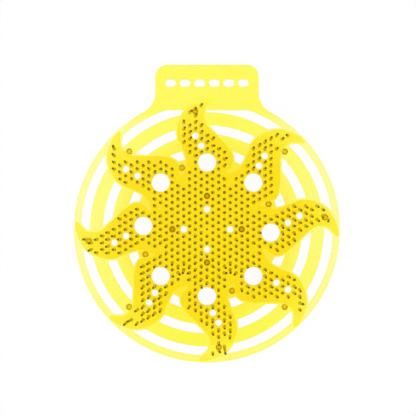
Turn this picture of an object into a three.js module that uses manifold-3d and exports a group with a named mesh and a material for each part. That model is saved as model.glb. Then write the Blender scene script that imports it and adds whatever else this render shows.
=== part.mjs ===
// Urinal deodorizer screen, moulded in one piece from soft scented plastic. Millimetres, +Z up.
// It lies on its round feet, with its splash-breaking pins pointing up and its grip tab towards +Y.
import * as THREE from "three";
import { mergeGeometries, mergeVertices } from "three/addons/utils/BufferGeometryUtils.js";
import Module from "manifold-3d";

// Driving sizes of the round screen and its grip tab
const DISC_RADIUS = 85;
const TAB_REACH = 105;
const TAB_HALF_WIDTH = 33;
const TAB_CORNER = 7.8;
const TAB_FILLET = 14;

// Heights, from the floor up
const FOOT_HEIGHT = 2;
const SHEET_THICKNESS = 1.8;
const RIM_THICKNESS = 1.3;
const STAR_RISE = 1.5;
const PIN_HEIGHT = 9.5;

// Rings: a rim, then three arc slots with a ring of sheet between each two
const RIM_WIDTH = 4.5;
const SLOT_WIDTH = 5.75;
const RING_WIDTH = 8.3;
const SLOT_COUNT = 3;
const SLOT_CHORD = 76.1;
const FLANGE = 1.1;

// Star: one curled arm as [radius, degrees] from valley to tip and back, repeated eight times
const ARMS = 8;
const ARM_STEP = 360 / ARMS;
const ARM_OUTLINE = [
  [37.8, 25.2],
  [40.8, 19.6],
  [45.9, 16.2],
  [53.6, 16.6],
  [61.2, 17.5],
  [67.6, 16.1],
  [73.4, 13.1],
  [78.4, 9.1],
  [81.8, 4.4],
  [83.6, 0.4],
  [84.1, -2.2],
  [83.2, -3.4],
  [81.7, -2.7],
  [79.4, -0.6],
  [76.6, 1.1],
  [71.4, 1.7],
  [66.6, 0.1],
  [61.2, -4.6],
  [55.5, -12.0],
  [50.4, -18.3],
  [46.5, -20.8],
  [42.8, -20.4],
  [39.4, -18.3],
];

// Pins stand on a triangular grid that is clipped by the star, the holes and eight bare spots
const GRID_PITCH = 4.26;
const PIN_BASE = 1.05;
const PIN_TIP = 0.72;
const PIN_SIDES = 3;
const PIN_TURN = 90;
const PIN_EDGE_MARGIN = 2.45;
const BARE_SPOT = { radius: 33.5, degrees: 22.5, size: 2.55 };
const GATE = { radius: 0.8, rise: 0.5 };

// Holes, each at a [column, row] of the grid. The pattern is the same turned by half a turn.
const DRAIN = { radius: 5.8, clear: 7.2, sides: 20, at: [[0, 20], [8, 14], [11, -1], [8, -14]] };
const VENT = {
  radius: 2.1,
  clear: 2.87,
  sides: 8,
  at: [
    [0, 6], [4, 0], [-2, 28], [-1, 25], [10, 22], [9, 19],
    [16, 4], [14, 2], [12, -16], [14, -18],
  ],
};

// Feet: four on grid points near the middle, then three rings of four as [radius, degrees]
const FOOT_RADIUS = 1.8;
const FOOT_SIDES = 8;
const GRID_FEET = [[6, 0], [0, 10]];
const FOOT_RINGS = [[42.5, 22.2], [70.3, 45], [75.7, 5.7]];

// Grid points where a pin stands or is missing against the rule, each with its opposite point
const ADDED_PINS = [
  [3, 15], [3, -15], [4, -26], [8, 24], [14, -14], [15, 7], [15, -15], [19, 7], [20, 6],
];
const MISSING_PINS = [
  [3, -33], [5, -15], [11, 5], [12, 20], [12, 22], [12, 26], [15, -23], [15, -21], [19, 5],
];

// A row of plain rounded slots across the tab
const TAB_SLOTS = { count: 6, pitch: 9.3, length: 6.8, width: 4.8, inset: 11.7, endSides: 4 };

const CIRCLE_STEP = 5;
const OVERLAP = 0.5;
const RAD = Math.PI / 180;

const sheetTop = FOOT_HEIGHT + SHEET_THICKNESS;
const starTop = sheetTop + STAR_RISE;
const centreShift = (DISC_RADIUS - TAB_REACH) / 2;

const wasm = await Module();
wasm.setup();

function solidOf(geometry) {
  const bare = geometry.index ? geometry.toNonIndexed() : geometry.clone();
  bare.deleteAttribute("normal");
  bare.deleteAttribute("uv");
  const merged = mergeVertices(bare, 1e-4);
  return new wasm.Manifold(
    new wasm.Mesh({
      numProp: 3,
      vertProperties: merged.attributes.position.array,
      triVerts: new Uint32Array(merged.index.array),
    }),
  );
}

function polar(radius, degrees) {
  return new THREE.Vector2(radius * Math.cos(degrees * RAD), radius * Math.sin(degrees * RAD));
}

// Points of an arc round a centre, from one angle to another in steps of at most CIRCLE_STEP.
function arc(centre, radius, from, to, step = CIRCLE_STEP) {
  const steps = Math.max(1, Math.round(Math.abs(to - from) / step));
  return Array.from({ length: steps + 1 }, (_, i) =>
    polar(radius, from + ((to - from) * i) / steps).add(centre),
  );
}

function slab(points, bottom, top, holes = []) {
  const shape = new THREE.Shape(points);
  shape.holes = holes.map((hole) => new THREE.Path(hole));
  const geometry = new THREE.ExtrudeGeometry(shape, { depth: top - bottom, bevelEnabled: false });
  return geometry.translate(0, 0, bottom);
}

function circlePoints(radius) {
  return arc(new THREE.Vector2(), radius, 0, 360 - CIRCLE_STEP);
}

function annulus(outer, inner, bottom, top) {
  return slab(circlePoints(outer), bottom, top, [circlePoints(inner)]);
}

// Many separate upright posts as one geometry, each tapered from its base to its top.
// The first corner of each post's outline is at the angle that turn gives.
function posts(places, baseRadius, topRadius, bottom, top, sides, turn = 0) {
  const side = 360 / sides;
  const post = slab(arc(new THREE.Vector2(), baseRadius, turn, turn + 360 - side, side), bottom, top);
  const { array } = post.attributes.position;
  for (let i = 0; i < array.length; i += 3) {
    const scale = array[i + 2] > (bottom + top) / 2 ? topRadius / baseRadius : 1;
    array[i] *= scale;
    array[i + 1] *= scale;
  }
  return mergeGeometries(places.map(({ x, y }) => post.clone().translate(x, y, 0)));
}

function gridPoint(column, row) {
  return new THREE.Vector2((column * GRID_PITCH * Math.sqrt(3)) / 2, (row * GRID_PITCH) / 2);
}

function withOpposites(cells) {
  return cells.flatMap(([column, row]) => [[column, row], [-column, -row]]);
}

// Round disc, with a tab whose sides run into the disc through hollow fillets.
function sheetOutline() {
  const reach = DISC_RADIUS + TAB_FILLET;
  const filletX = TAB_HALF_WIDTH + TAB_FILLET;
  const filletY = Math.sqrt(reach ** 2 - filletX ** 2);
  const meet = Math.atan2(filletY, filletX) / RAD;
  const cornerX = TAB_HALF_WIDTH - TAB_CORNER;
  const cornerY = TAB_REACH - TAB_CORNER;
  return [
    ...arc(new THREE.Vector2(), DISC_RADIUS, 180 - meet, 180).slice(0, -1),
    ...arc(new THREE.Vector2(), DISC_RADIUS, 180, 360),
    ...arc(new THREE.Vector2(), DISC_RADIUS, 360, 360 + meet).slice(1),
    ...arc(new THREE.Vector2(filletX, filletY), TAB_FILLET, 180 + meet, 180, 12).slice(1),
    ...arc(new THREE.Vector2(cornerX, cornerY), TAB_CORNER, 0, 90, 18),
    ...arc(new THREE.Vector2(-cornerX, cornerY), TAB_CORNER, 90, 180, 18),
    ...arc(new THREE.Vector2(-filletX, filletY), TAB_FILLET, 0, -meet, 12).slice(0, -1),
  ];
}

// Each arm's points run clockwise, so the whole star is turned round at the end.
function starOutline() {
  return Array.from({ length: ARMS }, (_, k) =>
    ARM_OUTLINE.map(([radius, degrees]) => polar(radius, degrees - k * ARM_STEP)),
  )
    .flat()
    .reverse();
}

// The outline moved outwards by an even margin, along the mean normal at each point.
function grown(points, margin) {
  return points.map((point, i) => {
    const before = points[(i + points.length - 1) % points.length];
    const after = points[(i + 1) % points.length];
    const a = point.clone().sub(before).normalize();
    const b = after.clone().sub(point).normalize();
    const normal = new THREE.Vector2(a.y + b.y, -a.x - b.x).normalize();
    const widen = Math.min(2, 1 / Math.max(0.5, normal.dot(new THREE.Vector2(a.y, -a.x))));
    return point.clone().addScaledVector(normal, margin * widen);
  });
}

function distanceTo(points, place) {
  return Math.min(
    ...points.map((start, i) => {
      const along = points[(i + 1) % points.length].clone().sub(start);
      const share = place.clone().sub(start).dot(along) / along.lengthSq();
      return start.clone().addScaledVector(along, THREE.MathUtils.clamp(share, 0, 1)).distanceTo(place);
    }),
  );
}

function isInside(points, place) {
  return points.reduce((inside, a, i) => {
    const b = points[(i + 1) % points.length];
    const crosses = a.y > place.y !== b.y > place.y;
    return crosses && place.x < ((b.x - a.x) * (place.y - a.y)) / (b.y - a.y) + a.x ? !inside : inside;
  }, false);
}

function pinPlaces(star) {
  const key = (cell) => cell.join();
  const added = new Set(withOpposites(ADDED_PINS).map(key));
  const missing = new Set([[0, 0], ...withOpposites([...MISSING_PINS, ...GRID_FEET])].map(key));
  const holes = [DRAIN, VENT].flatMap(({ at, clear }) =>
    withOpposites(at).map(([column, row]) => ({ place: gridPoint(column, row), clear })),
  );
  const spots = Array.from({ length: ARMS }, (_, k) =>
    polar(BARE_SPOT.radius, k * ARM_STEP + BARE_SPOT.degrees),
  );
  const standsOnStar = (place, margin) => isInside(star, place) && distanceTo(star, place) > margin;
  const obeysRule = (place) =>
    standsOnStar(place, PIN_EDGE_MARGIN) &&
    holes.every((hole) => hole.place.distanceTo(place) > hole.clear) &&
    spots.every((spot) => spot.distanceTo(place) > BARE_SPOT.size);
  const rows = Math.ceil((2 * DISC_RADIUS) / GRID_PITCH);
  const places = [];
  for (let column = -rows; column <= rows; column++) {
    for (let row = -rows; row <= rows; row++) {
      const cell = key([column, row]);
      if ((column + row) % 2 !== 0 || missing.has(cell)) continue;
      const place = gridPoint(column, row);
      const isAdded = added.has(cell) && standsOnStar(place, PIN_BASE);
      if (isAdded || obeysRule(place)) places.push(place);
    }
  }
  return places;
}

function footPlaces() {
  const rings = FOOT_RINGS.flatMap(([radius, degrees]) =>
    [0, 90, 180, 270].map((turn) => polar(radius, degrees + turn)),
  );
  return [...withOpposites(GRID_FEET).map(([column, row]) => gridPoint(column, row)), ...rings];
}

function arcSlots(star) {
  const bottom = FOOT_HEIGHT - 1;
  const top = sheetTop + 1;
  const rings = Array.from({ length: SLOT_COUNT }, (_, k) => {
    const outer = DISC_RADIUS - RIM_WIDTH - k * (SLOT_WIDTH + RING_WIDTH);
    return annulus(outer, outer - SLOT_WIDTH, bottom, top);
  });
  const tabBlock = new THREE.BoxGeometry(2 * DISC_RADIUS, TAB_REACH, 8)
    .translate(0, SLOT_CHORD + TAB_REACH / 2, FOOT_HEIGHT);
  return solidOf(mergeGeometries(rings))
    .subtract(solidOf(slab(grown(star, FLANGE), bottom - 1, top + 1)))
    .subtract(solidOf(tabBlock));
}

// The rim is thinner than the rest, up to where the fillets of the tab begin.
function rimStep() {
  const step = annulus(
    DISC_RADIUS + 2, DISC_RADIUS - RIM_WIDTH, FOOT_HEIGHT + RIM_THICKNESS, sheetTop + 1,
  );
  const meetX = (DISC_RADIUS * (TAB_HALF_WIDTH + TAB_FILLET)) / (DISC_RADIUS + TAB_FILLET);
  const tabBlock = new THREE.BoxGeometry(2 * meetX, TAB_REACH, 8)
    .translate(0, TAB_REACH / 2, sheetTop);
  return solidOf(step).subtract(solidOf(tabBlock));
}

function roundHoles(group) {
  const places = withOpposites(group.at).map(([column, row]) => gridPoint(column, row));
  return posts(places, group.radius, group.radius, FOOT_HEIGHT - 1, starTop + 1, group.sides);
}

function tabSlots() {
  const half = (TAB_SLOTS.length - TAB_SLOTS.width) / 2;
  const y = TAB_REACH - TAB_SLOTS.inset;
  const step = 180 / TAB_SLOTS.endSides;
  return Array.from({ length: TAB_SLOTS.count }, (_, i) => {
    const x = (i - (TAB_SLOTS.count - 1) / 2) * TAB_SLOTS.pitch;
    const right = new THREE.Vector2(x + half, y);
    const left = new THREE.Vector2(x - half, y);
    const outline = [
      ...arc(right, TAB_SLOTS.width / 2, -90, 90, step),
      ...arc(left, TAB_SLOTS.width / 2, 90, 270, step),
    ];
    return slab(outline, FOOT_HEIGHT - 1, sheetTop + 1);
  });
}

// Corner radius of a flat-sided section that has the same area as a round one of this radius.
function cornerRadius(radius, sides) {
  const turn = (2 * Math.PI) / sides;
  return radius * Math.sqrt(turn / Math.sin(turn));
}

function screenSolid() {
  const star = starOutline();
  const pinBase = cornerRadius(PIN_BASE, PIN_SIDES);
  const pinTip = cornerRadius(PIN_TIP, PIN_SIDES);
  const bottom = starTop - OVERLAP;
  const raised = [
    posts(pinPlaces(star), pinBase, pinTip, bottom, starTop + PIN_HEIGHT, PIN_SIDES, PIN_TURN),
    posts([new THREE.Vector2()], GATE.radius, GATE.radius, bottom, starTop + GATE.rise, FOOT_SIDES),
  ];
  const feet = posts(footPlaces(), FOOT_RADIUS, FOOT_RADIUS, 0, FOOT_HEIGHT + OVERLAP, FOOT_SIDES);
  const cuts = [roundHoles(DRAIN), roundHoles(VENT), ...tabSlots()];
  return solidOf(slab(sheetOutline(), FOOT_HEIGHT, sheetTop))
    .subtract(arcSlots(star))
    .subtract(rimStep())
    .add(solidOf(slab(star, FOOT_HEIGHT + OVERLAP, starTop)))
    .subtract(solidOf(mergeGeometries(cuts)))
    .add(solidOf(feet))
    .add(solidOf(mergeGeometries(raised)));
}

function geometryOf(solid) {
  const mesh = solid.getMesh();
  const geometry = new THREE.BufferGeometry();
  geometry.setAttribute("position", new THREE.BufferAttribute(new Float32Array(mesh.vertProperties), 3));
  geometry.setIndex(new THREE.BufferAttribute(new Uint32Array(mesh.triVerts), 1));
  return geometry;
}

const softPlastic = new THREE.MeshStandardMaterial({
  name: "scented_eva",
  color: "#ffe838",
  roughness: 0.45,
  metalness: 0,
});

const screen = new THREE.Mesh(geometryOf(screenSolid()), softPlastic);
screen.name = "screen";
screen.position.y = centreShift;

const part = new THREE.Group();
part.name = "urinal_screen";
part.add(screen);

export default part;
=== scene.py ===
"""Urinal deodorizer screen in translucent yellow scented EVA, lying on its feet.

The screen is one moulding, so it is one closed mesh. Every outline is worked out as a closed loop of
points in the plane. Walls are profiles carried along those loops, and the faces are filled between them.
Sizes are in millimetres from the middle of the round disc, until placed() turns them to metres. The
studio's sizes are in metres.
"""

import bmesh
import bpy
import numpy as np
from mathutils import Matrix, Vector
from mathutils.geometry import delaunay_2d_cdt


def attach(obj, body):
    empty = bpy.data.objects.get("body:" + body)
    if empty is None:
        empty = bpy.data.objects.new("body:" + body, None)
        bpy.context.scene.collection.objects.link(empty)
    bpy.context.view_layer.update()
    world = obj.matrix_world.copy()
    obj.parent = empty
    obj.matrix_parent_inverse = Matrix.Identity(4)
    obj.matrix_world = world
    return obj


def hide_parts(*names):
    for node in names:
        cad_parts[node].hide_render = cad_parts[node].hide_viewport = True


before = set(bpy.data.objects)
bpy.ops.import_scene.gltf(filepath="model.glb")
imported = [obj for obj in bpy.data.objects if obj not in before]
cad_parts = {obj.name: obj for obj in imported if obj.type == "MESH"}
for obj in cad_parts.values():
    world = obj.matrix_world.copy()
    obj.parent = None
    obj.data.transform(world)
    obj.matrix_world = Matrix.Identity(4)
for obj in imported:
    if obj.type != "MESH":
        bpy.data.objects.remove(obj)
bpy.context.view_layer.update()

# Driving sizes
DISC_RADIUS = 85.0
TAB_REACH = 105.0
TAB_HALF_WIDTH = 33.0
TAB_CORNER = 7.8
TAB_FILLET = 14.0
FOOT_HEIGHT = 2.0
SHEET_THICKNESS = 1.8
RIM_THICKNESS = 1.3
STAR_RISE = 1.5
PIN_HEIGHT = 9.5
RIM_WIDTH = 4.5
SLOT_WIDTH = 5.75
RING_WIDTH = 8.3
SLOT_COUNT = 3
SLOT_CHORD = 76.1
FLANGE = 1.1

# One curled arm as (radius, degrees), from the valley up one side, round its tip and down the other side
ARMS = 8
ARM_STEP = 360 / ARMS
ARM_OUTLINE = [
    (37.8, 25.2), (40.8, 19.6), (45.9, 16.2), (53.6, 16.6), (61.2, 17.5), (67.6, 16.1),
    (73.4, 13.1), (78.4, 9.1), (81.8, 4.4), (83.6, 0.4), (84.1, -2.2), (83.2, -3.4),
    (81.7, -2.7), (79.4, -0.6), (76.6, 1.1), (71.4, 1.7), (66.6, 0.1), (61.2, -4.6),
    (55.5, -12.0), (50.4, -18.3), (46.5, -20.8), (42.8, -20.4), (39.4, -18.3),
]

# The two sides of the first arm, by radius and by degrees, to read the flanges from
FLANK_RADII = (44.0, 83.0)
UPPER_FLANK = (-2.0, 22.0)
LOWER_FLANK = (-25.0, 7.0)

# Pins on a triangular grid, with eight bare spots. A cell is (column, row), and each cell in these two
# lists stands for its opposite too.
GRID_PITCH = 4.26
PIN_BASE = 1.05
PIN_TIP = 0.72
PIN_EDGE_MARGIN = 2.45
BARE_RADIUS = 33.5
BARE_DEGREES = 22.5
BARE_SIZE = 2.55
ADDED_PINS = [(3, 15), (3, -15), (4, -26), (8, 24), (14, -14), (15, 7), (15, -15), (19, 7), (20, 6)]
MISSING_PINS = [
    (3, -33), (5, -15), (11, 5), (12, 20), (12, 22), (12, 26), (15, -23), (15, -21), (19, 5),
]

# Holes and feet, by cells that stand for their opposites too. A ring of four feet is (radius, degrees).
DRAIN_RADIUS = 5.8
DRAIN_CLEAR = 7.2
DRAINS = [(0, 20), (8, 14), (11, -1), (8, -14)]
VENT_RADIUS = 2.1
VENT_CLEAR = 2.87
VENTS = [
    (0, 6), (4, 0), (-2, 28), (-1, 25), (10, 22), (9, 19), (16, 4), (14, 2), (12, -16), (14, -18),
]
FOOT_RADIUS = 1.8
GRID_FEET = [(6, 0), (0, 10)]
FOOT_RINGS = [(42.5, 22.2), (70.3, 45.0), (75.7, 5.7)]

# The gate mark in the middle, and a row of rounded slots across the tab
GATE_RADIUS = 0.8
GATE_RISE = 0.5
TAB_SLOT_COUNT = 6
TAB_SLOT_PITCH = 9.3
TAB_SLOT_LENGTH = 6.8
TAB_SLOT_WIDTH = 4.8
TAB_SLOT_INSET = 11.7

# Rounded edges. A quarter round's middle lies three tenths of its radius in from each side.
EDGE_ROUND = 0.3
HOLE_ROUND = 0.2
ROUND_MIDDLE = 0.3
FLAT_LIP = 0.05

# Thickness of the sheet and fall of the star. A pair of radii, or of heights along the tab, says where a
# change starts and where it is whole.
HUB_EXTRA = 0.5
HUB_RADII = (74.0, 42.0)
FLOW_WAVE = 0.2
FLOW_LEAN = 0.1
FLOW_RADII = (30.0, 70.0)
RIM_STEP = 0.6
GROOVE_DEPTH = 0.4
GROOVE_SHARE = 0.52
GROOVE_HALF_WIDTH = 0.35
TAB_EXTRA = 0.25
TAB_RAMP = (66.0, 78.0)
TAB_RAMP_HALF_WIDTH = 50.0
STAR_TIP_DROP = 0.8
STAR_FALL_RADII = (62.0, 84.0)

# The star's side, from its top face to the sheet: how far out each row lies, and its share of the rise
STAR_INSET = 0.45
STAR_FILLET = 0.4
STAR_WALL_OFFSETS = [-STAR_INSET, -0.35, -0.1, 0, 0, 0.1, 0.35, STAR_FILLET]
STAR_WALL_SHARES = [1, 0.93, 0.76, 0.2, 0.05, 0]

# A pin's rings: millimetres over the star, then below the tip. After the two of the flare, each has
# narrowed by a share of the way from the base's radius to the tip's.
PIN_RISES = [0, 0, 0.25, 1.2, 4.6]
PIN_DROPS = [1.3, 0.25, 0]
PIN_NARROWING = [0.03, 0.13, 0.48, 0.86, 1.0]
PIN_FLARE = 0.2
PIN_END_SHARE = 0.6
PIN_SIDES = 8

# The rings of a foot, from the sheet down, and of the gate mark, from the star up
FOOT_WIDER = [0.25, 0.05, 0, 0, -0.08, -0.5, -0.85]
FOOT_LEVELS = [FOOT_HEIGHT, FOOT_HEIGHT - 0.08, FOOT_HEIGHT - 0.3, 0.3, 0.12, 0.06, 0]
GATE_WIDER = [0.15, 0, -0.1, -0.3]
GATE_SHARES = [0, 0.2, 0.85, 1]
POST_SIDES = 16

# Sides of the holes, steps along outlines, and where across the rim's width its rows of points run
DRAIN_SIDES = 40
VENT_SIDES = 20
OUTLINE_SPACING = 1.4
STAR_SPACING = 1.0
SLOT_SPACING = 0.45
SLOT_END_POINTS = 8
RIM_ROWS = [0.82, 0.67, 0.59, 0.52, 0.45, 0.36, 0.2]
RIM_ROW_DEGREES = 1.2
RIM_ROW_CLEAR = 0.8

# Soft pins that took a set in the box: a little lean at random, the mean lean of each arm's pins, two
# spots that their neighbours lean towards, and single bent pins by grid cell
PIN_LEAN = 0.28
LEAN_POWER = 1.4
SEED = 7
ARM_LEANS = [
    (-0.1, -0.5), (-0.15, 0.2), (-0.1, 0.1), (-0.4, -0.2),
    (-0.1, 0.3), (0.3, 0.2), (0.8, 0.2), (0.0, 0.4),
]
ARM_LEAN_RADII = (36.0, 46.0)
PULL_SPOTS = [(-15.0, -28.7), (14.9, -28.2)]
PULL = 1.9
PULL_REACH = 6.5
BENT_PINS = {
    (3, -35): (0.7, -3.6),
    (2, -36): (0.7, -0.7),
    (16, -22): (1.4, 0.0),
    (-16, 24): (-0.2, 1.1),
    (-16, 22): (-0.8, 0.7),
    (-20, -6): (-0.4, -0.5),
    (-13, -27): (-1.9, -0.1),
    (14, 28): (-2.0, -0.5),
    (20, 4): (-1.1, -0.6),
    (21, 3): (-1.7, -0.9),
}

SHEET_TOP = FOOT_HEIGHT + SHEET_THICKNESS
STAR_TOP = SHEET_TOP + STAR_RISE
CENTRE_SHIFT = (DISC_RADIUS - TAB_REACH) / 2

# A metre in millimetres, then a millimetre and the welding reach in metres, and the angle past which an
# edge stays sharp
METRE = 1000
MILLIMETRE = 0.001
WELD = 2e-6
SHARP_DEGREES = 60

# Colours of the plastic by the way that light takes through it, with painted shade and a painted highlight
# on the pins and feet
CLEAR = "#ffffff"
GOLD = "#ffd648"
HUB_GOLD = "#ffe391"
# Painted shade: dark amber round the base of each pin
PIN_BASE_PAINTED_SHADE = "#583400"
PIN_WALL_GOLD = "#ecc024"
# Painted shade: dark olive towards each pin's tip, lighter on the arms' pins
PIN_TIP_PAINTED_SHADE = "#3a3000"
ARM_TIP_PAINTED_SHADE = "#6a5800"
# Painted highlight: a lighter olive on each pin's end face
PIN_END_PAINTED_HIGHLIGHT = "#6e5e00"
# Painted shade: a dark ring round each foot's wall, darker under the hub. The feet's ends are amber,
# darkened by painted shade under the hub.
FOOT_WALL_PAINTED_SHADE = "#945800"
HUB_FOOT_WALL_PAINTED_SHADE = "#3c2200"
FOOT_END = "#e8b000"
HUB_FOOT_END_SHADED = "#b47c00"

# Share of light that passes straight through, the rest being scattered by the haze
PIN_BASE_CLEAR = 0.8
PIN_WALL_CLEAR = 0.45
PIN_TIP_CLEAR = 0.35

# Where the colours change: pairs of radii, shares of a pin's height, and millimetres past a face
HUB_GOLD_RADII = (66.0, 42.0)
STAR_GOLD_FADE = 0.6
STAR_GOLD_RADII = (50.0, 84.0)
ARM_RADII = (40.0, 65.0)
HUB_FOOT_RADII = (30.0, 25.0)
PIN_START = 0.012
# A pin's painted base shade gives way to gold between these shares of its height, higher up the crowded hub
# pins
BASE_SHADE_FADE_START = 0.03
HUB_BASE_SHADE_END = 0.45
ARM_BASE_SHADE_END = 0.12
# Painted shade darkens a pin towards its tip between these shares of its height
TIP_SHADE_SHARES = (0.88, 0.96)
FACE_DEPTH = 0.5
END_DEPTH = 0.06
FOOT_DEPTH = 0.05

# Studio, in metres, but for the sensor in millimetres. The picture is 416 pixels of 0.638 mm wide at the
# sheet, and its middle is a little off the disc's.
TABLE_SIZE = 3.0
TABLE_DROP = 0.00005
TABLE_GLOW = 0.95
SOFTBOX_PLACE = (-0.35, 0.35, 0.9)
SENSOR_WIDTH = 36.0
CAMERA_DISTANCE = 0.6
PICTURE_WIDTH = 0.2654
PICTURE_MIDDLE = (0.00064, 0.0136)


def linear(hex_colour):
    """An sRGB hex colour as linear light, by the sRGB curve."""
    c = np.array([int(hex_colour[i : i + 2], 16) for i in (1, 3, 5)]) / 255
    return (*np.where(c <= 0.04045, c / 12.92, ((c + 0.055) / 1.055) ** 2.4), 1.0)


# Outlines in the plane


def polar(radius, degrees):
    """Points at a radius and an angle from the +X axis: (r cos a, r sin a)."""
    angle = np.radians(degrees)
    return np.stack(np.broadcast_arrays(radius * np.cos(angle), radius * np.sin(angle)), -1)


def arc(centre, radius, start, stop, step=3.0):
    """Even steps along a circle's arc: centre + r (cos a, sin a), with a from start to stop."""
    count = max(2, int(round(abs(stop - start) / step)) + 1)
    return np.asarray(centre, float) + polar(radius, np.linspace(start, stop, count))


def smooth_loop(points, steps=6):
    """Closed Catmull-Rom curve: between two points it is the cubic whose slope at each is half the step
    from the point before to the point after."""
    a, b, c, d = (np.roll(points, shift, 0)[:, None] for shift in (1, 0, -1, -2))
    t = (np.arange(steps) / steps)[None, :, None]
    square = 2 * a - 5 * b + 4 * c - d
    cube = 3 * b - a - 3 * c + d
    return (0.5 * (2 * b + (c - a) * t + square * t**2 + cube * t**3)).reshape(-1, 2)


def evenly(loop, spacing, soften=0):
    """Puts points at even steps along a closed loop. Each pass of softening moves a point a quarter of
    the way to each neighbour, which rounds corners."""
    closed = np.vstack([loop, loop[:1]])
    run = np.concatenate([[0], np.cumsum(np.linalg.norm(np.diff(closed, axis=0), axis=1))])
    at = np.linspace(0, run[-1], max(8, int(round(run[-1] / spacing))), endpoint=False)
    out = np.stack([np.interp(at, run, closed[:, i]) for i in range(2)], -1)
    for _ in range(soften):
        out = 0.5 * out + 0.25 * (np.roll(out, 1, 0) + np.roll(out, -1, 0))
    return out


def outward(loop):
    """Unit normals of a counter-clockwise loop, each across the step between its two neighbours."""
    along = np.roll(loop, -1, 0) - np.roll(loop, 1, 0)
    normal = np.stack([along[:, 1], -along[:, 0]], -1)
    return normal / np.linalg.norm(normal, axis=1, keepdims=True)


def grown(loop, margin):
    """The loop moved outwards by an even margin along its normals."""
    return loop + margin * outward(loop)


def grid_point(cells):
    """Grid cells to places: x is the column times root three and half the pitch, y the row times half
    the pitch."""
    return np.asarray(cells, float) * GRID_PITCH / 2 * [np.sqrt(3), 1]


def with_opposites(cells):
    """Each cell and the one that half a turn takes it to: (i, j) and (-i, -j)."""
    return [(s * i, s * j) for i, j in cells for s in (1, -1)]


def sheet_outline():
    """Round disc whose tab has hollow fillets at its root and round corners at its end."""
    reach = DISC_RADIUS + TAB_FILLET
    fillet_x = TAB_HALF_WIDTH + TAB_FILLET
    fillet_y = np.sqrt(reach**2 - fillet_x**2)
    meet = np.degrees(np.arctan2(fillet_y, fillet_x))
    corner = (TAB_HALF_WIDTH - TAB_CORNER, TAB_REACH - TAB_CORNER)
    return np.vstack([
        arc((0, 0), DISC_RADIUS, 180 - meet, 360 + meet, step=1.0),
        arc((fillet_x, fillet_y), TAB_FILLET, 180 + meet, 180, step=5.0)[1:],
        arc(corner, TAB_CORNER, 0, 90, step=7.5),
        arc((-corner[0], corner[1]), TAB_CORNER, 90, 180, step=7.5),
        arc((-fillet_x, fillet_y), TAB_FILLET, 0, -meet, step=5.0)[:-1],
    ])


def turned(points, degrees):
    """Points turned about the middle: x cos a - y sin a, x sin a + y cos a."""
    c, s = np.cos(np.radians(degrees)), np.sin(np.radians(degrees))
    return points @ np.array([[c, s], [-s, c]])


def star_corners():
    """Eight curled arms: the arm's points, turned by each arm's angle, in counter-clockwise order."""
    arm = np.array(ARM_OUTLINE)
    return np.vstack([polar(arm[:, 0], arm[:, 1] - k * ARM_STEP) for k in range(ARMS)])[::-1]


def between(values, low, high):
    """True where a value lies between the two limits."""
    return (values > low) & (values < high)


def slot_outlines(star):
    """Arc slots between two arms: up one flange, along the outer circle, down the other flange, and back
    along the inner circle. The flanges' angles are read from the grown star, as functions of the radius."""
    loop = grown(star, FLANGE)
    radius = np.hypot(loop[:, 0], loop[:, 1])
    angle = np.degrees(np.arctan2(loop[:, 1], loop[:, 0]))
    climbs = np.roll(radius, -1) > radius
    flank = between(radius, *FLANK_RADII)
    upper = flank & ~climbs & between(angle, *UPPER_FLANK)
    lower = flank & climbs & between(angle, *LOWER_FLANK)

    def side(mask, r):
        order = np.argsort(radius[mask])
        return np.interp(r, radius[mask][order], angle[mask][order])

    def slot(outer):
        inner = outer - SLOT_WIDTH
        up = np.linspace(inner, outer, SLOT_END_POINTS)
        low = side(upper, up)
        high = side(lower, up) + ARM_STEP
        return np.vstack([
            polar(up, low),
            arc((0, 0), outer, low[-1], high[-1])[1:-1],
            polar(up, high)[::-1],
            arc((0, 0), inner, high[0], low[0])[1:-1],
        ])

    outers = DISC_RADIUS - RIM_WIDTH - np.arange(SLOT_COUNT) * (SLOT_WIDTH + RING_WIDTH)
    loops = [turned(slot(outer), n * ARM_STEP) for outer in outers for n in range(ARMS)]
    return [evenly(cut_above(loop, SLOT_CHORD), SLOT_SPACING, 1) for loop in loops]


def cut_above(loop, height):
    """Keeps the part of a loop below a level line, with new points where it crosses the line."""
    ahead = np.roll(loop, -1, 0)
    below = loop[:, 1] <= height
    crosses = below != (ahead[:, 1] <= height)
    rise = np.where(crosses, ahead[:, 1] - loop[:, 1], 1.0)
    share = np.where(crosses, (height - loop[:, 1]) / rise, 0.0)[:, None]
    meeting = loop + share * (ahead - loop)
    both = np.stack([loop, meeting], 1).reshape(-1, 2)
    return both[np.stack([below, crosses], 1).reshape(-1)]


def tab_slot_outlines():
    """A row of rounded slots: two half circles joined by straight sides."""
    half = (TAB_SLOT_LENGTH - TAB_SLOT_WIDTH) / 2
    y = TAB_REACH - TAB_SLOT_INSET
    middles = (np.arange(TAB_SLOT_COUNT) - (TAB_SLOT_COUNT - 1) / 2) * TAB_SLOT_PITCH
    return [
        np.vstack([
            arc((x + half, y), TAB_SLOT_WIDTH / 2, -90, 90, step=12),
            arc((x - half, y), TAB_SLOT_WIDTH / 2, 90, 270, step=12),
        ])
        for x in middles
    ]


def circle_loops(places, radius, sides):
    """One loop of a given number of sides round each place."""
    ring = polar(radius, np.arange(sides) * 360 / sides)
    return np.asarray(places)[:, None] + ring[None]


def inside(loop, places):
    """True where a place lies within the loop: a ray along +X crosses it an odd number of times."""
    a, b = loop[None], np.roll(loop, -1, 0)[None]
    x, y = places[:, None, 0], places[:, None, 1]
    spans = (a[..., 1] > y) != (b[..., 1] > y)
    rise = np.where(spans, b[..., 1] - a[..., 1], 1.0)
    left = x < (b[..., 0] - a[..., 0]) * (y - a[..., 1]) / rise + a[..., 0]
    return (np.sum(spans & left, axis=1) % 2) == 1


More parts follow.
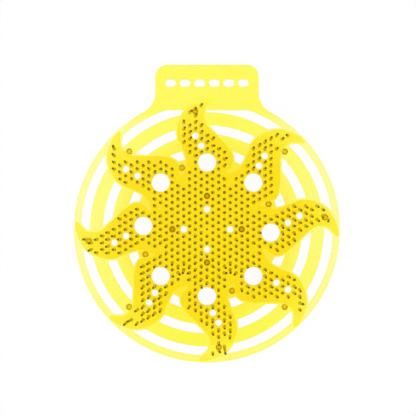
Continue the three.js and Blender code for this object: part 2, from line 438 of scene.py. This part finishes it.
def distance_to(loop, places):
    """Shortest distance from each place to the loop's sides. The nearest point of a side is held between
    the side's ends."""
    a, b = loop[None], np.roll(loop, -1, 0)[None]
    along = b - a
    to = places[:, None] - a
    share = np.clip((to * along).sum(-1) / (along**2).sum(-1), 0, 1)
    return np.linalg.norm(to - share[..., None] * along, axis=-1).min(1)


def pin_places():
    """Grid points inside the star, clear of its edge, the holes and the bare spots. ADDED_PINS and
    MISSING_PINS are the exceptions, and none stands over a foot that is on the grid, or over the gate."""
    star = star_corners()
    count = int(np.ceil(2 * DISC_RADIUS / GRID_PITCH))
    i, j = np.meshgrid(np.arange(-count, count + 1), np.arange(-count, count + 1), indexing="ij")
    cells = np.stack([i.ravel(), j.ravel()], -1)[(i + j).ravel() % 2 == 0]
    places = grid_point(cells)
    keep = inside(star, places) & (distance_to(star, places) > PIN_EDGE_MARGIN)
    for holes, clear in ((DRAINS, DRAIN_CLEAR), (VENTS, VENT_CLEAR)):
        gap = np.linalg.norm(places[:, None] - grid_point(with_opposites(holes))[None], axis=-1)
        keep &= gap.min(1) > clear
    spots = polar(BARE_RADIUS, np.arange(ARMS) * ARM_STEP + BARE_DEGREES)
    keep &= np.linalg.norm(places[:, None] - spots[None], axis=-1).min(1) > BARE_SIZE
    named = [tuple(c) for c in cells]
    added = set(with_opposites(ADDED_PINS))
    missing = set([(0, 0)] + with_opposites(MISSING_PINS + GRID_FEET))
    keep |= np.array([c in added for c in named])
    keep &= np.array([c not in missing for c in named])
    return places[keep]


def foot_places():
    """Four feet on the grid, and three rings of four at quarter turns."""
    turns = np.arange(4) * 90
    rings = [polar(radius, degrees + turns) for radius, degrees in FOOT_RINGS]
    return np.vstack([grid_point(with_opposites(GRID_FEET)), *rings])


# Heights over the plane


def eased(t):
    """Smooth step: 3 t squared - 2 t cubed, held between 0 and 1."""
    t = np.clip(t, 0, 1)
    return t * t * (3 - 2 * t)


def ramp(values, start, end):
    """Nought at the start and one at the end, by a smooth step. The end may be the lesser of the two."""
    return eased((values - start) / (end - start))


def sheet_top(places):
    """Top of the sheet. It thickens towards the hub, and steps down to the rim, which has a shallow groove
    in the shape of exp(-x squared). The flow of the plastic leaves the outer rings thinner left and right
    and thickest towards -Y: times 1 - (w cos 2a + v sin a). The tab is a little thicker."""
    radius = np.hypot(places[:, 0], places[:, 1])
    angle = np.arctan2(places[:, 1], places[:, 0])
    on_tab = ramp(places[:, 1], *TAB_RAMP) * (np.abs(places[:, 0]) < TAB_RAMP_HALF_WIDTH)
    rim_start = DISC_RADIUS - RIM_WIDTH
    on_rim = ramp(radius, rim_start - RIM_STEP, rim_start)
    groove_middle = DISC_RADIUS - GROOVE_SHARE * RIM_WIDTH
    groove = GROOVE_DEPTH * np.exp(-(((radius - groove_middle) / GROOVE_HALF_WIDTH) ** 2))
    round_part = SHEET_THICKNESS + HUB_EXTRA * ramp(radius, *HUB_RADII)
    round_part = round_part - on_rim * (SHEET_THICKNESS - RIM_THICKNESS + groove)
    flow = FLOW_WAVE * np.cos(2 * angle) + FLOW_LEAN * np.sin(angle)
    round_part = round_part * (1 - flow * ramp(radius, *FLOW_RADII))
    tab_part = SHEET_THICKNESS + TAB_EXTRA
    return FOOT_HEIGHT + round_part * (1 - on_tab) + tab_part * on_tab


def star_top(places):
    """Top of the star: level over the hub, then falling gently along each arm to its thin tip."""
    radius = np.hypot(places[:, 0], places[:, 1])
    return STAR_TOP - STAR_TIP_DROP * ramp(radius, *STAR_FALL_RADII)


# Surfaces


class Surface:
    """Collects the vertices and faces of one closed moulding, wall by wall and face by face."""

    def __init__(self):
        self.vertices = []
        self.faces = []
        self.count = 0

    def add(self, vertices, faces):
        """Takes in a patch whose faces count its own vertices from nought."""
        self.vertices.append(vertices)
        self.faces += (np.asarray(faces) + self.count).tolist()
        self.count += len(vertices)

    def wall(self, loop, offsets, heights):
        """A profile carried along a loop: row m is the loop moved out by offsets[m], at heights[m]. A height
        is a number, or one for each point, or the function of the face that borders the row, which closes
        the seam."""
        n, m = len(loop), len(offsets)
        rows = []
        for offset, height in zip(offsets, heights):
            places = grown(loop, offset)
            level = height(places) if callable(height) else height
            rows.append(np.column_stack([places, np.broadcast_to(level, n)]))
        r, c = np.meshgrid(np.arange(m - 1), np.arange(n), indexing="ij")
        right = (c + 1) % n
        quads = np.stack([r * n + c, r * n + right, (r + 1) * n + right, (r + 1) * n + c], -1)
        self.add(np.vstack(rows), quads.reshape(-1, 4))

    def fill(self, loops, height, extra=()):
        """A face inside the first loop and outside the others, with the height that height() gives each
        place. The extra places are points inside it."""
        places = np.vstack([*loops, *extra])
        ends = np.cumsum([len(loop) for loop in loops])
        runs = [np.arange(end - len(loop), end) for end, loop in zip(ends, loops)]
        edges = np.vstack([np.stack([run, np.roll(run, -1)], -1) for run in runs]).tolist()
        within_edges = 1
        tolerance = 1e-6
        made = delaunay_2d_cdt([Vector(p) for p in places], edges, [], within_edges, tolerance, False)
        points = np.array([tuple(v) for v in made[0]])
        triangles = np.array(made[2])
        middle = points[triangles].mean(1)
        keep = inside(loops[0], middle)
        for hole in loops[1:]:
            near = keep & ((middle > hole.min(0)) & (middle < hole.max(0))).all(1)
            keep[near] = ~inside(hole, middle[near])
        self.add(np.column_stack([points, height(points)]), triangles[keep])

    def posts(self, places, radii, heights, lean, sides, face=None):
        """Round posts: ring m of each has radii[m] and heights[:, m], and leans by lean times its share of
        the height to the power LEAN_POWER. A flat face closes each post. The first ring lies on the face
        that the function face() gives, where there is one."""
        share = ((heights - heights[:, :1]) / (heights[:, -1:] - heights[:, :1])) ** LEAN_POWER
        ring = polar(1.0, np.arange(sides) * 360 / sides)
        middle = places[:, None] + lean[:, None] * share[..., None]
        flat = middle[:, :, None] + radii[None, :, None, None] * ring[None, None]
        high = np.array(np.broadcast_to(heights[:, :, None, None], flat.shape[:3] + (1,)))
        if face:
            high[:, 0, :, 0] = face(flat[:, 0].reshape(-1, 2)).reshape(high.shape[0], sides)
        p, m = flat.shape[:2]
        i, r, c = np.meshgrid(np.arange(p), np.arange(m - 1), np.arange(sides), indexing="ij")
        start = (i * m + r) * sides
        right = (c + 1) % sides
        quads = np.stack([start + c, start + right, start + sides + right, start + sides + c], -1)
        ends = (np.arange(p)[:, None] * m + m - 1) * sides + np.arange(sides)
        first = self.count
        self.add(np.concatenate([flat, high], -1).reshape(-1, 3), quads.reshape(-1, 4))
        self.faces += (ends + first).tolist()


def edge_profile(size, face, loop):
    """The wall of a hole or an outline: a flat lip on the face that face() gives, a quarter round of the
    given size, the wall, then the same in reverse at the underside. The offsets go into the plastic."""
    top = face(loop)
    bottom = FOOT_HEIGHT
    middle = ROUND_MIDDLE * size
    offsets = [size + FLAT_LIP, size, middle, 0, 0, middle, size, size + FLAT_LIP]
    heights = [face, top, top - middle, top - size, bottom + size, bottom + middle, bottom, bottom]
    return offsets, heights


def star_loop():
    """The star's outline: a smooth curve through the arms' points, in even steps."""
    return evenly(smooth_loop(star_corners()), STAR_SPACING)


def add_star_wall(body, star):
    """The star's side: a soft round at the top, a steep wall, and a small fillet onto the sheet."""
    low_edge = sheet_top(star)
    rise = star_top(star) - low_edge
    steps = [low_edge + share * rise for share in STAR_WALL_SHARES]
    body.wall(star, STAR_WALL_OFFSETS, [star_top, *steps, sheet_top])


def rim_points(star):
    """Points along the rim that carry its groove, except where an arm's tip covers it."""
    rings = DISC_RADIUS - RIM_WIDTH * np.array(RIM_ROWS)
    points = np.vstack([polar(radius, np.arange(0, 360, RIM_ROW_DEGREES)) for radius in rings])
    return points[~inside(grown(star, RIM_ROW_CLEAR), points)]


def add_pins(body, pins, foot_radius):
    """Tapered pins, flared where they meet the star. A leaning pin keeps its length, so its tip's height
    over its base is the root of the length squared less the lean squared."""
    lean = pin_leans(pins)
    base = star_top(pins)[:, None]
    length = STAR_TOP + PIN_HEIGHT - base
    tip = base + np.sqrt(length**2 - (lean**2).sum(1, keepdims=True))
    heights = np.hstack([base + PIN_RISES, tip - PIN_DROPS])
    narrowed = PIN_BASE + (PIN_TIP - PIN_BASE) * np.array(PIN_NARROWING)
    radii = np.array([foot_radius, foot_radius - FLAT_LIP, *narrowed, PIN_END_SHARE * PIN_TIP])
    body.posts(pins, radii, heights, lean, PIN_SIDES, star_top)


def add_upright_posts(body, places, radii, levels):
    """Upright posts that all have the same rings: the feet, and the gate mark."""
    heights = np.tile(np.asarray(levels, float), (len(places), 1))
    body.posts(places, radii, heights, np.zeros((len(places), 2)), POST_SIDES)


def moulding():
    """The whole screen: faces, joined by the walls of the outline, slots, holes, star, pins and feet."""
    body = Surface()
    outline = evenly(sheet_outline(), OUTLINE_SPACING)
    star = star_loop()
    openings = slot_outlines(star) + tab_slot_outlines()
    drains = list(circle_loops(grid_point(with_opposites(DRAINS)), DRAIN_RADIUS, DRAIN_SIDES))
    vents = list(circle_loops(grid_point(with_opposites(VENTS)), VENT_RADIUS, VENT_SIDES))
    pins = pin_places()
    feet = foot_places()
    middle = np.zeros((1, 2))

    offsets, heights = edge_profile(EDGE_ROUND, sheet_top, outline)
    body.wall(outline, [-offset for offset in offsets], heights)
    for loop in openings:
        body.wall(loop, *edge_profile(EDGE_ROUND, sheet_top, loop))
    for loop in drains + vents:
        body.wall(loop, *edge_profile(HOLE_ROUND, star_top, loop))
    add_star_wall(body, star)

    edge = grown(outline, -EDGE_ROUND - FLAT_LIP)
    slots_cut = [grown(loop, EDGE_ROUND + FLAT_LIP) for loop in openings]
    holes_cut = [grown(loop, HOLE_ROUND + FLAT_LIP) for loop in drains + vents]
    body.fill([edge, grown(star, STAR_FILLET)] + slots_cut, sheet_top, [rim_points(star)])

    pin_foot = PIN_BASE + PIN_FLARE + FLAT_LIP
    gate_radii = GATE_RADIUS + np.array(GATE_WIDER)
    pin_loops = list(circle_loops(pins, pin_foot, PIN_SIDES))
    gate_loop = list(circle_loops(middle, gate_radii[0], POST_SIDES))
    body.fill([grown(star, -STAR_INSET)] + holes_cut + pin_loops + gate_loop, star_top)

    foot_radii = FOOT_RADIUS + np.array(FOOT_WIDER)
    foot_loops = list(circle_loops(feet, foot_radii[0], POST_SIDES))
    underside = [edge] + slots_cut + holes_cut + foot_loops
    body.fill(underside, lambda places: np.full(len(places), FOOT_HEIGHT))

    add_pins(body, pins, pin_foot)
    add_upright_posts(body, middle, gate_radii, STAR_TOP + GATE_RISE * np.array(GATE_SHARES))
    add_upright_posts(body, feet, foot_radii, FOOT_LEVELS)
    return body


def tints(mesh):
    """One colour for each vertex, with the clearness as its alpha. The gold of the star, deeper towards the
    hub, is what the long way through the plastic adds. Over it lie painted shade in amber at a pin's base,
    hazy gold along the pin, painted shade in dark olive at its tip, and a painted highlight on its end. The
    feet are amber, with painted shade round their walls and under the hub. Each colour is laid over the last
    by its share: c (1 - s) + d s."""
    co = np.empty(len(mesh.vertices) * 3, np.float32)
    mesh.vertices.foreach_get("co", co)
    co = co.reshape(-1, 3) * METRE - [0, CENTRE_SHIFT, 0]
    places, high = co[:, :2], co[:, 2]
    radius = np.hypot(places[:, 0], places[:, 1])
    up = (high - star_top(places)) / PIN_HEIGHT
    colour = np.tile(np.array(linear(CLEAR)), (len(co), 1))

    def blend(share, hex_colour, clear=1.0):
        share = np.asarray(share, float)[:, None]
        target = np.array([*linear(hex_colour)[:3], clear])
        colour[:] = colour * (1 - share) + target * share

    above_feet = high > FOOT_HEIGHT + FACE_DEPTH
    on_star = inside(star_loop(), places) & (high > sheet_top(places) + FACE_DEPTH)
    blend(above_feet * ramp(radius, *HUB_GOLD_RADII), HUB_GOLD)
    blend(on_star * (1 - STAR_GOLD_FADE * ramp(radius, *STAR_GOLD_RADII)), GOLD)

    on_pin = up > PIN_START
    on_arm = ramp(radius, *ARM_RADII)
    base_shade_end = HUB_BASE_SHADE_END + (ARM_BASE_SHADE_END - HUB_BASE_SHADE_END) * on_arm
    tip_shade = on_pin * ramp(up, *TIP_SHADE_SHARES)
    # Painted shade: dark amber at each pin's base, reaching higher up the crowded pins of the hub
    blend(on_pin, PIN_BASE_PAINTED_SHADE, PIN_BASE_CLEAR)
    blend(on_pin * ramp(up, BASE_SHADE_FADE_START, base_shade_end), PIN_WALL_GOLD, PIN_WALL_CLEAR)
    # Painted shade: dark olive towards each pin's tip, lighter on the arms
    blend(tip_shade, PIN_TIP_PAINTED_SHADE, PIN_TIP_CLEAR)
    blend(tip_shade * on_arm, ARM_TIP_PAINTED_SHADE, PIN_TIP_CLEAR)
    # Painted highlight: a lighter olive on each pin's end face
    blend(high > STAR_TOP + PIN_HEIGHT - END_DEPTH, PIN_END_PAINTED_HIGHLIGHT, PIN_TIP_CLEAR)

    in_hub = ramp(radius, *HUB_FOOT_RADII)
    on_foot = high < FOOT_HEIGHT - FOOT_DEPTH
    foot_end = high < FOOT_DEPTH
    # Painted shade: a dark ring round each foot's wall, darker under the hub, and painted shade darkening
    # the amber of the hub's foot ends
    blend(on_foot, FOOT_WALL_PAINTED_SHADE)
    blend(on_foot * in_hub, HUB_FOOT_WALL_PAINTED_SHADE)
    blend(foot_end, FOOT_END)
    blend(foot_end * in_hub, HUB_FOOT_END_SHADED)
    return colour


def pin_leans(places):
    """How far each pin's tip leans: a little at random, the mean lean of its arm, a pull towards two
    spots that fades as exp(-d squared) with the distance, and the bends of single pins."""
    random = np.random.default_rng(SEED)
    lean = random.normal(0, PIN_LEAN, (len(places), 2))
    radius = np.hypot(places[:, 0], places[:, 1])
    angle = np.degrees(np.arctan2(places[:, 1], places[:, 0]))
    arm = np.round(-angle / ARM_STEP).astype(int) % ARMS
    lean += np.array(ARM_LEANS)[arm] * ramp(radius, *ARM_LEAN_RADII)[:, None]
    for spot in PULL_SPOTS:
        to = np.asarray(spot) - places
        away = np.linalg.norm(to, axis=1, keepdims=True)
        lean += PULL * to / away * np.exp(-((away / PULL_REACH) ** 2))
    for cell, bend in BENT_PINS.items():
        at_cell = np.linalg.norm(places - grid_point(cell), axis=1) < GRID_PITCH / 4
        lean[at_cell] += bend
    return lean


def placed(surface, name):
    """Makes the mesh, with its seams welded and its tints. Millimetres from the disc's middle become metres
    in the frame."""
    vertices = np.vstack(surface.vertices) + [0, CENTRE_SHIFT, 0]
    mesh = bpy.data.meshes.new(name)
    mesh.from_pydata((vertices * MILLIMETRE).tolist(), [], surface.faces)
    shape = bmesh.new()
    shape.from_mesh(mesh)
    bmesh.ops.remove_doubles(shape, verts=shape.verts, dist=WELD)
    bmesh.ops.recalc_face_normals(shape, faces=shape.faces)
    shape.to_mesh(mesh)
    shape.free()
    tint = mesh.color_attributes.new("tint", "FLOAT_COLOR", "POINT")
    tint.data.foreach_set("color", tints(mesh).ravel())
    mesh.shade_smooth()
    mesh.set_sharp_from_angle(angle=np.radians(SHARP_DEGREES))
    piece = bpy.data.objects.new(name, mesh)
    bpy.context.scene.collection.objects.link(piece)
    return piece


# Materials


def add_node(tree, kind, settings=None, links=None):
    """Adds a node, sets its properties or inputs, and links its inputs from other nodes' outputs."""
    node = tree.nodes.new(kind)
    for key, value in (settings or {}).items():
        if isinstance(key, int) or key in node.inputs:
            node.inputs[key].default_value = value
        else:
            setattr(node, key, value)
    for key, source in (links or {}).items():
        tree.links.new(source, node.inputs[key])
    return node


def new_material(name):
    """An empty node material, and its tree."""
    material = bpy.data.materials.new(name)
    material.use_nodes = True
    material.node_tree.nodes.clear()
    return material, material.node_tree


def scented_eva():
    """Injection-moulded scented EVA. The mould gives it a satin skin with weak reflections. Its dye takes
    out the blue, so that the yellow deepens to gold with thickness, and a faint painted glow is added all
    over. Its haze scatters light along the pins, where the way through is long, by the alpha of the tint."""
    material, tree = new_material("injection_moulded_scented_eva")
    tint = add_node(tree, "ShaderNodeAttribute", {"attribute_name": "tint"})
    skin = add_node(tree, "ShaderNodeBsdfPrincipled", {
        "Roughness": 0.3,
        "IOR": 1.48,
        "Specular IOR Level": 0.25,
        # A faint painted glow, the same everywhere, that brightens the plastic as if more light came through
        # it
        "Emission Color": linear("#fff600"),
        "Emission Strength": 0.03,
    }, {"Base Color": tint.outputs["Color"], "Transmission Weight": tint.outputs["Alpha"]})
    depth = add_node(tree, "ShaderNodeVolumeAbsorption", {
        "Color": linear("#fffd1a"),
        "Density": 1050.0,
    })
    add_node(tree, "ShaderNodeOutputMaterial", links={
        "Surface": skin.outputs[0],
        "Volume": depth.outputs[0],
    })
    return material


def white_table():
    """Plain white laminate. Seen directly, mirrored or through the plastic, most of it is the even white
    of the backdrop, and the rest keeps the screen's shadow."""
    material, tree = new_material("plain_white_table")
    path = add_node(tree, "ShaderNodeLightPath")
    seen = add_node(tree, "ShaderNodeMath", {"operation": "MAXIMUM"}, {
        0: path.outputs["Is Camera Ray"],
        1: path.outputs["Is Glossy Ray"],
    })
    seen = add_node(tree, "ShaderNodeMath", {"operation": "MAXIMUM"}, {
        0: seen.outputs[0],
        1: path.outputs["Is Transmission Ray"],
    })
    paint = add_node(tree, "ShaderNodeBsdfDiffuse", {"Color": linear("#f4f4f4")})
    glow = add_node(tree, "ShaderNodeEmission", {"Color": (1, 1, 1, 1), "Strength": 1.0})
    share = add_node(tree, "ShaderNodeMath", {
        "operation": "MULTIPLY",
        1: TABLE_GLOW,
    }, {0: seen.outputs[0]})
    mixed = add_node(tree, "ShaderNodeMixShader", links={
        0: share.outputs[0],
        1: paint.outputs[0],
        2: glow.outputs[0],
    })
    add_node(tree, "ShaderNodeOutputMaterial", links={"Surface": mixed.outputs[0]})
    return material


# Studio


def soft_world():
    """A white world that lights evenly. In reflections it falls from grey at eye level to near black
    overhead, as a dark ceiling would make it, so that the flat faces keep their yellow."""
    world = bpy.context.scene.world or bpy.data.worlds.new("studio")
    bpy.context.scene.world = world
    world.use_nodes = True
    tree = world.node_tree
    tree.nodes.clear()
    path = add_node(tree, "ShaderNodeLightPath")
    seen = add_node(tree, "ShaderNodeMath", {"operation": "MAXIMUM"}, {
        0: path.outputs["Is Camera Ray"],
        1: path.outputs["Is Transmission Ray"],
    })
    seen = add_node(tree, "ShaderNodeMath", {"operation": "MAXIMUM"}, {
        0: seen.outputs[0],
        1: path.outputs["Is Diffuse Ray"],
    })
    direction = add_node(tree, "ShaderNodeTexCoord")
    axes = add_node(tree, "ShaderNodeSeparateXYZ", links={0: direction.outputs["Generated"]})
    height = add_node(tree, "ShaderNodeMapRange", {
        "interpolation_type": "SMOOTHSTEP",
        "From Min": 0.25,
        "From Max": 0.85,
        "To Min": 0.4,
        "To Max": 0.05,
    }, {"Value": axes.outputs["Z"]})
    strength = add_node(tree, "ShaderNodeMath", {"operation": "MAXIMUM"}, {
        0: seen.outputs[0],
        1: height.outputs[0],
    })
    white = {"Color": (1, 1, 1, 1)}
    sky = add_node(tree, "ShaderNodeBackground", white, {"Strength": strength.outputs[0]})
    add_node(tree, "ShaderNodeOutputWorld", links={"Surface": sky.outputs[0]})


def softbox():
    """One broad lamp, high up on the left towards the tab, turned to the middle of the screen."""
    lamp = bpy.data.lights.new("softbox", "AREA")
    lamp.size = 0.8
    lamp.energy = 1.2
    holder = bpy.data.objects.new("softbox", lamp)
    holder.location = SOFTBOX_PLACE
    holder.rotation_euler = (-holder.location).to_track_quat("-Z", "Y").to_euler()
    bpy.context.scene.collection.objects.link(holder)


def table():
    """A wide white table, a hair below the feet so that no two faces share a plane."""
    bpy.ops.mesh.primitive_plane_add(size=TABLE_SIZE, location=(0, 0, -TABLE_DROP))
    top = bpy.context.object
    top.name = "table"
    top.data.materials.append(white_table())


def overhead_camera():
    """Straight above, looking down. The lens is the sensor's width times the distance, over the width of
    the picture."""
    camera = bpy.data.cameras.new("camera")
    camera.sensor_width = SENSOR_WIDTH
    camera.lens = SENSOR_WIDTH * CAMERA_DISTANCE / PICTURE_WIDTH
    camera.clip_start = 0.01
    holder = bpy.data.objects.new("camera", camera)
    x, y = PICTURE_MIDDLE
    high = CAMERA_DISTANCE + SHEET_TOP * MILLIMETRE
    holder.location = (x, y + CENTRE_SHIFT * MILLIMETRE, high)
    bpy.context.scene.collection.objects.link(holder)
    bpy.context.scene.camera = holder


# Scene

screen = placed(moulding(), "screen_moulding")
screen.data.materials.append(scented_eva())
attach(screen, "root")
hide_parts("screen")

table()
soft_world()
softbox()
overhead_camera()
bpy.context.scene.view_settings.view_transform = "Standard"
